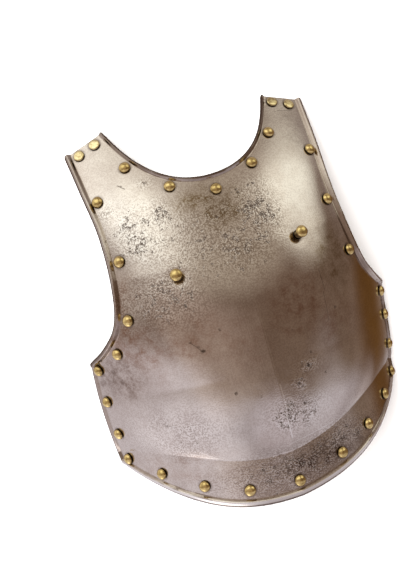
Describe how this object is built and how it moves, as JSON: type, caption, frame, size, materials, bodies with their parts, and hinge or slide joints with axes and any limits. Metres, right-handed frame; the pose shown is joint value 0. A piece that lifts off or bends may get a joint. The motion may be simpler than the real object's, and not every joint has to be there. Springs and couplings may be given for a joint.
{
  "type": "cuirass breastplate",
  "caption": "Steel cuirass breastplate with a faint keel, waist crease, flared lower flange and turned edges, set with brass rivets and two breast buttons.",
  "frame": {"origin": "on the floor under the middle of the bounding box, with the plate lying hollow side down", "axes": "+X to the wearer's left, +Y towards the neck, +Z out of the front of the plate"},
  "size_m": [0.3446, 0.4144, 0.1359],
  "materials": {
    "steel": "old polished steel with a warm grey patina, fine pits and dark spots",
    "brass": "worn polished brass, dull in the seams"
  },
  "bodies": {
    "root": {"breastplate": "steel", "breast_button_left": "brass", "breast_button_right": "brass", "rivet_armhole_1_left": "brass", "rivet_armhole_1_right": "brass", "rivet_armhole_2_left": "brass", "rivet_armhole_2_right": "brass", "rivet_armhole_3_left": "brass", "rivet_armhole_3_right": "brass", "rivet_armhole_4_right": "brass", "rivet_neck_inner_left": "brass", "rivet_neck_inner_right": "brass", "rivet_neck_middle": "brass", "rivet_neck_outer_left": "brass", "rivet_neck_outer_right": "brass", "rivet_shoulder_inner_left": "brass", "rivet_shoulder_inner_right": "brass", "rivet_shoulder_outer_left": "brass", "rivet_shoulder_outer_right": "brass", "rivet_side_1_left": "brass", "rivet_side_1_right": "brass", "rivet_side_2_left": "brass", "rivet_side_2_right": "brass", "rivet_side_3_left": "brass", "rivet_side_3_right": "brass", "rivet_side_4_left": "brass", "rivet_side_4_right": "brass", "rivet_waist_1_left": "brass", "rivet_waist_1_right": "brass", "rivet_waist_2_left": "brass", "rivet_waist_2_right": "brass", "rivet_waist_3_left": "brass", "rivet_waist_3_right": "brass", "rivet_waist_middle": "brass"}
  },
  "joints": []
}
